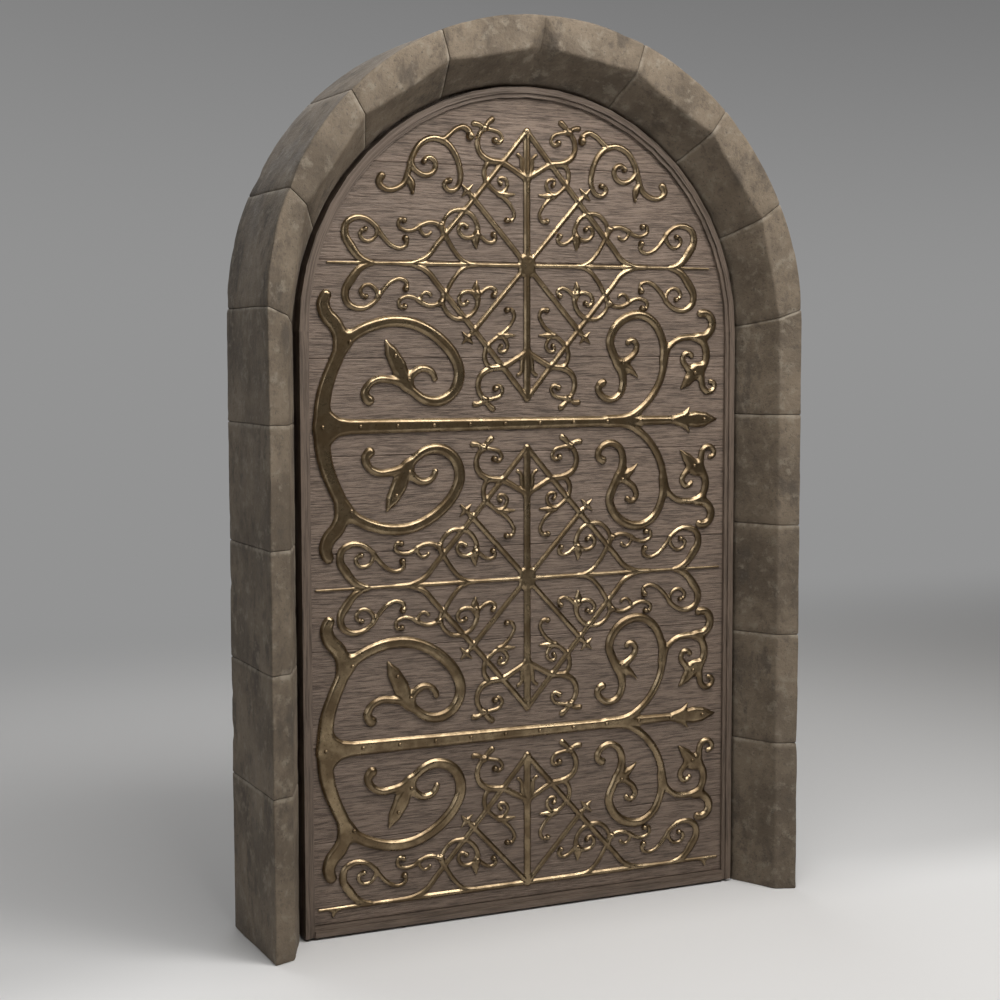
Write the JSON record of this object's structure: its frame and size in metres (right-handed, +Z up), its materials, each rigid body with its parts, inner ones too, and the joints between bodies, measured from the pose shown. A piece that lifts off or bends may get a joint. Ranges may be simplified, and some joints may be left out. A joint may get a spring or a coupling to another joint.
{
  "type": "church door",
  "caption": "Round-headed church door of oak planks with brass scrollwork, hung on strap hinges in a dressed stone surround",
  "frame": {"origin": "on the floor, at the centre of the footprint", "axes": "+X to the right seen from the front, +Y from the front to the back, +Z up"},
  "size_m": [1.728, 0.39, 2.665],
  "materials": {
    "sandstone": "rough",
    "oak_planks": "weathered",
    "oak_boards": "sawn",
    "oak_rim": "worn",
    "aged_brass": "aged",
    "hinge_iron": "blackened"
  },
  "bodies": {
    "surround": {"left_jamb_1": "sandstone", "left_jamb_2": "sandstone", "left_jamb_3": "sandstone", "left_jamb_4": "sandstone", "left_jamb_5": "sandstone", "lower_pintle": "hinge_iron", "right_jamb_1": "sandstone", "right_jamb_2": "sandstone", "right_jamb_3": "sandstone", "right_jamb_4": "sandstone", "right_jamb_5": "sandstone", "upper_pintle": "hinge_iron", "voussoir_1": "sandstone", "voussoir_2": "sandstone", "voussoir_3": "sandstone", "voussoir_4": "sandstone", "voussoir_5": "sandstone", "voussoir_6": "sandstone", "voussoir_7": "sandstone", "voussoir_8": "sandstone"},
    "leaf": {"back_board_1": "oak_boards", "back_board_2": "oak_boards", "back_board_3": "oak_boards", "back_board_4": "oak_boards", "back_board_5": "oak_boards", "back_board_6": "oak_boards", "back_board_7": "oak_boards", "left_spray": "aged_brass", "lower_hinge_strap": "aged_brass", "lower_rear_strap": "hinge_iron", "lower_tracery": "aged_brass", "middle_tracery": "aged_brass", "plank_1": "oak_planks", "plank_2": "oak_planks", "plank_3": "oak_planks", "plank_4": "oak_planks", "plank_5": "oak_planks", "plank_6": "oak_planks", "plank_7": "oak_planks", "plank_8": "oak_planks", "plank_9": "oak_planks", "right_spray": "aged_brass", "rim_bottom": "oak_rim", "rim_head_left": "oak_rim", "rim_head_right": "oak_rim", "rim_left": "oak_rim", "rim_right": "oak_rim", "upper_hinge_strap": "aged_brass", "upper_rear_strap": "hinge_iron", "upper_tracery": "aged_brass"}
  },
  "joints": [
    {"name": "leaf_swing", "type": "hinge", "parent": "surround", "child": "leaf", "pos_m": [-0.735, 0.0881, 0], "axis": [0, 0, 1], "range_deg": [0, 95]}
  ]
}
